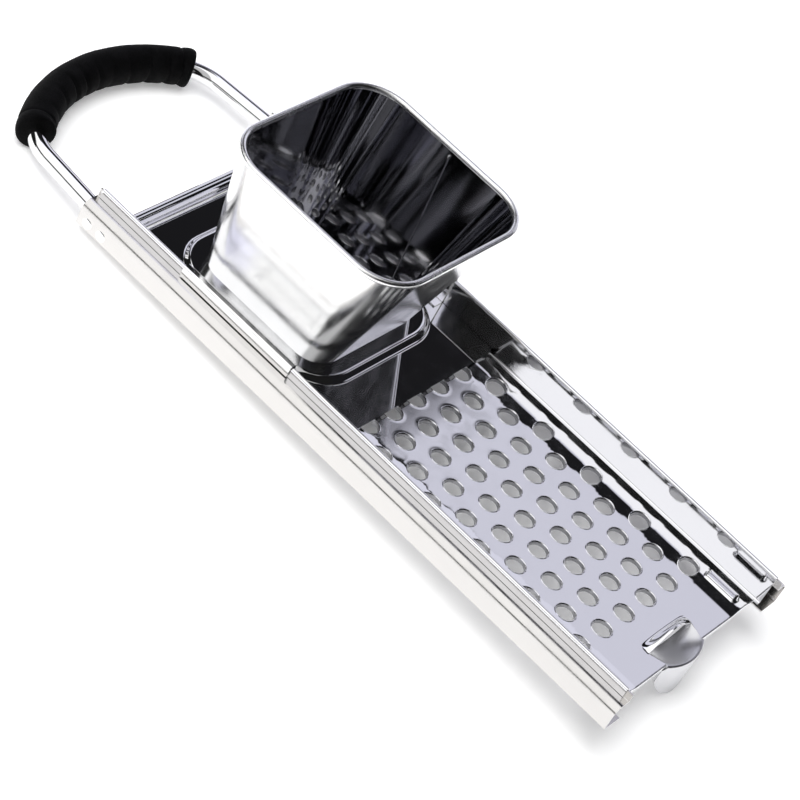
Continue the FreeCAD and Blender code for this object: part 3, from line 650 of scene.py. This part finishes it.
def tonguePlace(across, along):
    # along 0..1 is the scoop from under the hood to the bulging edge, 1..2 the hanging tongue
    fold, lap = hook["fold"], hook["lap"]
    if along <= 1:
        rear = hook["slotRear"] - hook["under"]
        half = hook["half"] + (hook["frontHalf"] + lap - hook["half"]) * along
        y = across * half
        x = rear + (tongueFront(y) - fold - rear) * along
        dip = (1 - along ** hook["scoopAlong"]) * (1 - abs(across) ** hook["scoopAcross"])
        return x, y, tool["deckTop"] - hook["scoop"] * dip
    share = along - 1
    widened = min(1, share * hook["widening"])
    half = hook["frontHalf"] + lap + (hook["tongueHalf"] - hook["frontHalf"] - lap) * widened
    y = across * half
    radius = hook["tipRadius"]
    tip = radius - math.sqrt(radius**2 - y**2)
    drop = tool["deckTop"] - tip
    down = share * drop
    bow = fold - math.sqrt(max(0.0, fold**2 - (fold - min(down, fold)) ** 2)) if down < fold else 0
    return tongueFront(y) - bow, y, tool["deckTop"] - down


def inCollar(place):
    # the drawn wall below a hole's rolled rim
    firstX = tool["deckFront"] - deck["firstRow"]
    row = round((firstX - place.x) / deck["rowPitch"])
    if not 0 <= row < deck["rows"]:
        return False
    holes = deck["wideRow"] - row % 2
    shift = (holes - 1) / 2 * deck["holePitch"]
    column = round((place.y + shift) / deck["holePitch"])
    if not 0 <= column < holes:
        return False
    gapX, gapY = place.x - firstX + row * deck["rowPitch"], place.y + shift - column * deck["holePitch"]
    return math.hypot(gapX, gapY) < deck["collarRadius"]


def makeTongue():
    bpy.ops.mesh.primitive_grid_add(x_subdivisions=hook["rows"], y_subdivisions=hook["columns"], size=2)
    sheet = settle()
    for vertex in sheet.data.vertices:
        # the rows close up round the fold
        along = vertex.co.x + 1
        if along > 1:
            along = 1 + (along - 1) ** hook["closer"]
        vertex.co = tonguePlace(vertex.co.y, along)
    faceUpwards(sheet)
    addMaterials(sheet, deckMaterials)
    for face in sheet.data.polygons:
        face.material_index = 1
    return applyModifier(sheet, "SOLIDIFY", thickness=tool["gauge"], offset=-1)


def makeDeck():
    sheet = addField()
    touch = tool["touch"]
    editMode()
    bpy.ops.mesh.remove_doubles(threshold=touch)
    objectMode()
    half = deck["wideRow"] / 2 * deck["holePitch"]
    steps = deck["edgeSteps"]
    side = (deck["edge"] - half) / steps
    for sign in (-1, 1):
        growEdge(sheet, lambda co: co.y * sign > half - touch, [(0, sign * side, 0)] * steps)
    front = tool["deckFront"] - deck["firstRow"] + deck["rowPitch"] / 2
    rear = front - deck["rows"] * deck["rowPitch"]
    lipReach = sum(step[0] for step in deck["lip"])
    # one row of points lies on the slot's rear edge
    edgeX = tool["deckFront"] - lipReach
    growEdge(sheet, lambda co: co.x > front - touch, evenSteps(hook["slotRear"] - front, deck["apronSteps"]))
    growEdge(sheet, lambda co: co.x > hook["slotRear"] - touch,
             evenSteps(edgeX - hook["slotRear"], deck["slotSteps"]))
    growEdge(sheet, lambda co: co.x < rear + touch, evenSteps(tool["deckRear"] - rear, deck["rearSteps"]))
    hoodEnd, hoodSide = deck["fineHood"]
    refine(sheet, lambda x, y: front < x < hoodEnd and abs(y) < hoodSide)
    margin = deck["fineMargin"]
    inner, outer = deck["fineStops"]
    refine(sheet, lambda x, y: stop["rear"] - margin < x < stop["front"] + margin and inner < abs(y) < outer)
    pressForms(sheet)
    growEdge(sheet, lambda co: co.x > edgeX - touch, [(step[0], 0, step[1]) for step in deck["lip"]])
    openSlot(sheet)
    faceUpwards(sheet)
    sheet.location.z = tool["deckTop"]
    addMaterials(sheet, deckMaterials)
    # the hole walls get the darker steel: painted shade inside the holes
    for face in sheet.data.polygons:
        face.material_index = 2 if inCollar(face.center) else 0
    pickOnly(sheet)
    settle()
    applyModifier(sheet, "SOLIDIFY", thickness=deck["gauge"], offset=-1)
    return sheet


wall = {"bend": 1.0, "hem": 0.6, "front": 158.15, "rear": -99.95}


def makeWalls():
    # side walls with a rolled hem, and the bare hem that runs on behind the deck
    half = tool["gauge"] / 2
    floor = tool["deckTop"] - half
    middle = tool["wallInside"] + half
    top = tool["wallTop"] - half - wall["hem"]
    hemLegs = [(-180, wall["hem"]), (top - tool["hemFoot"],)]
    full = [(middle - wall["bend"] - deck["edge"],), (90, wall["bend"]),
            (top - floor - wall["bend"],), *hemLegs]
    main = foldStrip(tool["deckRear"], wall["front"], (deck["edge"], floor), 0, full)
    upper = foldStrip(wall["rear"], tool["deckRear"], (middle, tool["hemFoot"]), 90,
                      [(top - tool["hemFoot"],), *hemLegs])
    walls = joinPieces([main, upper])
    addMaterials(walls, deckMaterials)
    return mirrorAcross(walls)


cover = {"foot": 15.2, "return": 9.6, "corner": 1.2, "shoulder": 26.05, "tuck": 3.2, "fit": 0.05, "bend": 0.6}


def makeCover():
    # tucked under the hem, over the rod, down the outside and back under the deck
    half = tool["gauge"] / 2
    arc = tool["rodRadius"] + cover["fit"] + half
    tuckY = tool["wallInside"] + 1.5 * tool["gauge"]
    start, bend = tool["hemFoot"] + cover["tuck"], cover["bend"]
    legs = [
        (start - cover["shoulder"] - bend,), (90, bend),
        (tool["rodOffset"] - tuckY - bend,), (-90, arc),
        (tool["rodHeight"] - cover["foot"] - half - cover["corner"],), (-90, cover["corner"]),
        (cover["return"] - half - cover["corner"],),
    ]
    return foldStrip(tool["railRear"], tool["railFront"], (tuckY, start), -90, legs)


deckPlate = joinPieces([makeDeck(), makeWalls(), makeTongue()])
finishPiece(deckPlate, "deckPlate", "track", deckSteel, ["perforated_plate"],
            smoothAngle=50, others=deckMaterials[1:])
leftCover = makeCover()
rightCover = oppositeHand(leftCover)
finishPiece(leftCover, "leftCover", "track", sheetSteel, ["left_rail_cover"])
finishPiece(rightCover, "rightCover", "track", sheetSteel, ["right_rail_cover"])


# the handle: one rod bent into a loop, with a soft sleeve
handle = {
    "insideRail": 90.0, "bendSetback": 12.0, "bendRadius": 60.0, "apex": -153.35, "apexRadius": 67.5,
    "cornerRadius": 21.0, "cornerSide": 26.3, "sides": 40, "bendStep": 4, "sleeveSpan": 85.0,
}


def loopCentres():
    # the x of the apex bend's middle, the left corner bend's middle, and how far apart they are
    apexX = handle["apex"] + handle["apexRadius"]
    reach = handle["apexRadius"] - handle["cornerRadius"]
    corner = Vector((apexX - math.sqrt(reach**2 - handle["cornerSide"] ** 2), handle["cornerSide"]))
    return apexX, corner, reach


def loopPath():
    # the legs of the left half, from the end in the rail to the middle of the loop
    corner, reach = loopCentres()[1:]
    bend = Vector((tool["railRear"] + handle["bendSetback"], tool["rodOffset"]))
    gap = bend - corner
    slope = math.atan2(gap.y, gap.x) - math.asin(handle["cornerRadius"] / gap.length)
    setback = handle["bendRadius"] * math.tan(slope / 2)
    arm = math.sqrt(gap.length_squared - handle["cornerRadius"] ** 2) - setback
    spread = math.asin(handle["cornerSide"] / reach)
    slopeDegrees, spreadDegrees = math.degrees(slope), math.degrees(spread)
    inside = handle["insideRail"] - handle["bendSetback"] - setback
    return [(inside,), (slopeDegrees, handle["bendRadius"]), (arm,),
            (90 - spreadDegrees - slopeDegrees, handle["cornerRadius"]),
            (spreadDegrees, handle["apexRadius"])]


def makeRod():
    start = Vector((tool["railRear"] + handle["insideRail"], tool["rodOffset"], tool["rodHeight"]))
    rod, end = leadRound(start, (-1, 0, 0), loopPath(), tool["rodRadius"], handle["sides"],
                         handle["bendStep"])
    print("rod ends at", [round(c, 3) for c in end])
    editMode(selectAll=False)
    bpy.ops.mesh.delete(type="ONLY_FACE")
    objectMode()
    applyModifier(rod, "MIRROR", use_axis=(False, True, False), merge_threshold=tool["touch"])
    return faceOutwards(rod)


finishPiece(makeRod(), "handleRod", "track", barSteel, ["handle_rod"])


sleeve = {
    "radius": 7.25, "sides": 64, "bendStep": 0.6, "endRound": 1.3,
    "hemSwell": 0.3, "hemPlace": 2.4, "hemWidth": 1.7,
    "grooveDepth": 0.4, "groovePlace": 5.2, "grooveWidth": 0.55,
    # the creases stand unevenly: how far each one strays and leans, and how deep it is at least
    "creases": 11, "creasePitch": 8.6, "creaseDepth": 0.95, "creaseWidth": 1.1,
    "stray": 4, "lean": 1.6, "leastDepth": 0.6, "innerFrom": (-0.2, 0.9),
    "straySeed": (3.7, 0.5), "leanSeed": (1.9, 7.5),
    # size and height of the soft lumps in the surface
    "lumps": ((0.09, 0.2), (0.3, 0.07)),
}


def bump(distance, width):
    return math.exp(-((distance / width) ** 2))


def randomAt(number, seed):
    return noise.noise(Vector((number * seed[0], seed[1], 0)))


def sleeveRise(along, toEnd, inner, around):
    # rounded hems with a stitched groove behind, and creases on the inner side of the bend
    rise = 0.0
    if toEnd < sleeve["endRound"]:
        rounded = sleeve["endRound"]
        rise = math.sqrt(rounded**2 - (rounded - toEnd) ** 2) - rounded
    rise += sleeve["hemSwell"] * bump(toEnd - sleeve["hemPlace"], sleeve["hemWidth"])
    rise -= sleeve["grooveDepth"] * bump(toEnd - sleeve["groovePlace"], sleeve["grooveWidth"])
    for number in range(sleeve["creases"]):
        wander = randomAt(number, sleeve["straySeed"])
        place = (number - (sleeve["creases"] - 1) / 2) * sleeve["creasePitch"] + sleeve["stray"] * wander
        lean = sleeve["lean"] * around * randomAt(number, sleeve["leanSeed"])
        fold = bump(along - place - lean, sleeve["creaseWidth"])
        depth = sleeve["creaseDepth"] * (sleeve["leastDepth"] + wander)
        rise -= depth * fold * smoothStep(*sleeve["innerFrom"], inner)
    return rise


def makeSleeve():
    apexX, corner = loopCentres()[:2]
    spread = math.radians(loopPath()[-1][0])
    turned = math.acos((handle["sleeveSpan"] / 2 - handle["cornerSide"]) / handle["cornerRadius"])
    bend = math.pi / 2 - turned - spread
    heading = Vector((-math.cos(turned), -math.sin(turned), 0))
    start = Vector((corner.x - handle["cornerRadius"] * math.sin(turned), handle["sleeveSpan"] / 2,
                    tool["rodHeight"]))
    ends, middle = math.degrees(bend), 2 * math.degrees(spread)
    legs = [(ends, handle["cornerRadius"]), (middle, handle["apexRadius"]), (ends, handle["cornerRadius"])]
    tube = leadRound(start, heading, legs, sleeve["radius"], sleeve["sides"], sleeve["bendStep"])[0]
    half = handle["apexRadius"] * spread + handle["cornerRadius"] * bend
    for vertex in tube.data.vertices:
        co = vertex.co
        # the nearest point of the rod's middle line, and the way along it from the apex
        angle = math.atan2(abs(co.y), apexX - co.x)
        hub, radius, along = Vector((apexX, 0)), handle["apexRadius"], handle["apexRadius"] * angle
        if angle > spread:
            hub, radius = Vector((corner.x, math.copysign(corner.y, co.y))), handle["cornerRadius"]
            angle = math.atan2(abs(co.y) - corner.y, corner.x - co.x)
            along = handle["apexRadius"] * spread + radius * (angle - spread)
        out = (co.xy - hub).normalized()
        centre = Vector((*(hub + out * radius), tool["rodHeight"]))
        spoke = (co - centre).normalized()
        inner = -spoke.xy.dot(out)
        rise = sleeveRise(math.copysign(along, co.y), max(0.0, half - along), inner, spoke.z)
        (wide, high), (narrow, low) = sleeve["lumps"]
        co += spoke * (rise + noise.noise(co * wide) * high + noise.noise(co * narrow) * low)
    return faceOutwards(tube)


finishPiece(makeSleeve(), "gripSleeve", "track", sleeveFoam, ["grip_sleeve"], weighted=False)


# the bar between the two arms
bar = {"x": -87.85, "z": 20.4, "radius": 3.25, "end": 47.6, "sides": 40, "chamfer": 0.3}


def makeBar():
    bpy.ops.mesh.primitive_cylinder_add(vertices=bar["sides"], radius=bar["radius"], depth=2 * bar["end"],
                                        location=(bar["x"], 0, bar["z"]), rotation=(math.pi / 2, 0, 0))
    rail = settle()
    return applyModifier(rail, "BEVEL", width=bar["chamfer"], segments=2, limit_method="ANGLE")


finishPiece(makeBar(), "crossBar", "track", barSteel, ["cross_bar"])


# the hopper: a tapered cup with a wire rim, on a sliding base with a raised step
hopper = {
    "foot": (60.6, 60.6, 10.5), "rim": (82.6, 83.0, 17.5), "footZ": 18.5, "rimZ": 78.1,
    "wire": 1.3, "wireSteps": 5, "steps": 12,
    "base": (108.1, 92.0, 3.0), "baseZ": 19.1,
    "ring": ((9.6, 0.0), (8.9, 0.1), (8.3, 0.6), (7.6, 1.5), (7.1, 2.1), (6.5, 2.34), (5.8, 2.38),
             (0.5, 2.4)),
}


def cupOutline(z, grow=0.0):
    share = (z - hopper["footZ"]) / (hopper["rimZ"] - hopper["footZ"])
    length, width, radius = (low + (high - low) * share
                             for low, high in zip(hopper["foot"], hopper["rim"]))
    middle = tool["footMiddle"] + (tool["rimMiddle"] - tool["footMiddle"]) * share
    return addRounded(length + 2 * grow, width + 2 * grow, radius + grow, middle, z, hopper["steps"])


def makeCup():
    cup = bridgeOutlines([cupOutline(hopper["footZ"]), cupOutline(hopper["rimZ"])])
    faceOutwards(cup)
    addMaterials(cup, [cupSteel, cupInsidePaintedShade])
    # the inner side of the wall takes the darker steel, a painted shade
    return applyModifier(cup, "SOLIDIFY", thickness=tool["gauge"], offset=-1, material_offset=1)


seam = {"top": (-26.2, 40.75, 76.9), "foot": (-18.3, 30.0, 19.3), "half": 0.42, "sides": 16,
        "dot": 0.8, "dotPlace": (-26.2, 40.4, 76.2), "dotSteps": (20, 12)}


def makeSeam():
    # the raised seam where the cup's sheet meets, on the inner side of the left wall
    top, foot = Vector(seam["top"]), Vector(seam["foot"])
    slant = top - foot
    bpy.ops.mesh.primitive_cylinder_add(vertices=seam["sides"], radius=seam["half"], depth=slant.length,
                                        location=(top + foot) / 2,
                                        rotation=slant.to_track_quat("Z", "Y").to_euler())
    bead = settle()
    segments, rings = seam["dotSteps"]
    bpy.ops.mesh.primitive_uv_sphere_add(segments=segments, ring_count=rings, radius=seam["dot"],
                                         location=seam["dotPlace"])
    return joinPieces([bead, settle()])


def makeRimWire():
    wire = cupOutline(hopper["rimZ"] + hopper["wire"], -tool["gauge"] / 2)
    pickOnly(wire)
    bpy.ops.object.convert(target="CURVE")
    wire = bpy.context.object
    wire.data.bevel_depth = hopper["wire"]
    wire.data.bevel_resolution = hopper["wireSteps"]
    bpy.ops.object.convert(target="MESH")
    return faceOutwards(bpy.context.object)


def makeBase():
    length, width, radius = hopper["base"]
    flange = addRounded(length, width, radius, tool["baseMiddle"], hopper["baseZ"], hopper["steps"])
    rings = []
    for grow, rise in hopper["ring"]:
        ring = cupOutline(hopper["footZ"], grow)
        ring.location.z = hopper["baseZ"] + rise - hopper["footZ"]
        pickOnly(ring)
        rings.append(settle())
    base = bridgeOutlines([flange, *rings])
    faceUpwards(base)
    return applyModifier(base, "SOLIDIFY", thickness=tool["gauge"], offset=-1)


finishPiece(makeCup(), "hopperCup", "hopper", cupSteel, ["hopper_cup"],
            others=[cupInsidePaintedShade])
finishPiece(makeSeam(), "cupSeam", "hopper", seamSteel)
finishPiece(makeRimWire(), "rimWire", "hopper", wireSteel, ["hopper_rim_wire"])
finishPiece(makeBase(), "hopperBase", "hopper", flangeSteel, ["hopper_base"])


clip = {"length": 54.0, "foot": 4.4, "footZ": 19.4, "riser": 45.7, "bend": 0.6, "top": 31.1,
        "legMiddle": 48.7, "leg": 4.3}


def makeClip():
    start = clip["riser"] - tool["gauge"] / 2 - clip["foot"]
    bend = clip["bend"]
    legs = [
        (clip["riser"] - bend - start,), (90, bend), (clip["top"] - clip["footZ"] - 2 * bend,), (-90, bend),
        (clip["legMiddle"] - clip["riser"] - 2 * bend,), (-90, bend), (clip["leg"] - bend,),
    ]
    half = clip["length"] / 2
    return foldStrip(tool["baseMiddle"] - half, tool["baseMiddle"] + half, (start, clip["footZ"]), 0, legs)


leftClip = makeClip()
rightClip = oppositeHand(leftClip)
finishPiece(leftClip, "leftClip", "hopper", clipSteel, ["left_guide_clip"])
finishPiece(rightClip, "rightClip", "hopper", clipSteel, ["right_guide_clip"])


# weld spots: the rings as shares of a spot's radius, and their heights when it stands at its full rise
spot = {
    "rings": ((1.0, 0.0), (0.86, 0.22), (0.66, 0.35), (0.5, 0.32), (0.36, 0.12), (0.18, 0.05), (0.05, 0.04)),
    "rise": 0.35, "sides": 32,
}
railSpot = {"radius": 2.2, "height": 0.35, "places": (-96.65, -89.65), "side": 54.6, "z": 18.9}
clipSpot = {"radius": 1.5, "height": 0.1, "places": (-43.85, -16.85), "side": 43.2, "z": 19.7}


def makeSpots(sort, turn):
    # a low round weld mark: raised rim, sunk middle
    rings = [addRing(sort["radius"] * share, rise / spot["rise"] * sort["height"], spot["sides"])
             for share, rise in spot["rings"]]
    mark = bridgeOutlines(rings)
    last = len(mark.data.vertices) - spot["sides"]
    pickVertices(mark, lambda index, co: index >= last)
    editMode(selectAll=False)
    bpy.ops.mesh.edge_face_add()
    objectMode()
    marks = []
    for place in [(x, side * sort["side"], sort["z"]) for x in sort["places"] for side in (-1, 1)]:
        double = copyPiece(mark)
        double.rotation_euler = (turn * (1 if place[1] < 0 else -1), 0, 0)
        double.location = place
        marks.append(double)
    bpy.data.objects.remove(mark)
    pickOnly(*marks)
    settle()
    return faceOutwards(joinPieces(marks))


finishPiece(makeSpots(railSpot, math.pi / 2), "railSpots", "track", clipSteel,
            ["rail_spot_welds"])
finishPiece(makeSpots(clipSpot, 0), "clipSpots", "hopper", clipSteel, ["clip_spot_welds"])


weld = {"inside": 45.3, "lap": 3.3, "sink": 0.05, "thickness": 0.8, "roundness": 0.6,
        "rings": 12, "sides": 48, "ripple": 0.16, "rippleSize": 0.6, "rippleFrom": 0.2}


def makeBarWelds():
    # an uneven bead that was run round each end of the bar
    rings = []
    for step in range(weld["rings"]):
        share = step / (weld["rings"] - 1)
        swell = weld["thickness"] * math.sin(math.pi * share) ** weld["roundness"]
        ring = addRing(bar["radius"] - weld["sink"] + swell, 0, weld["sides"])
        ring.rotation_euler = (math.pi / 2, 0, 0)
        ring.location = (bar["x"], weld["inside"] + weld["lap"] * share, bar["z"])
        pickOnly(ring)
        rings.append(settle())
    bead = bridgeOutlines(rings)
    for vertex in bead.data.vertices:
        co = vertex.co
        spoke = Vector((co.x - bar["x"], 0, co.z - bar["z"]))
        depth = spoke.length - bar["radius"] + weld["rippleFrom"]
        ripple = 1 + weld["ripple"] * noise.noise(co * weld["rippleSize"]) * depth
        co.x, co.z = bar["x"] + spoke.x * ripple, max(bar["z"] + spoke.z * ripple, tool["deckTop"])
    faceOutwards(bead)
    return mirrorAcross(bead)


finishPiece(makeBarWelds(), "barWelds", "track", barSteel, ["cross_bar_welds"])

# the nodes that the pieces replace get a plain finish of their own too
for name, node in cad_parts.items():
    node.data.materials.clear()
    node.data.materials.append(sleeveFoam if name == "grip_sleeve" else sheetSteel)
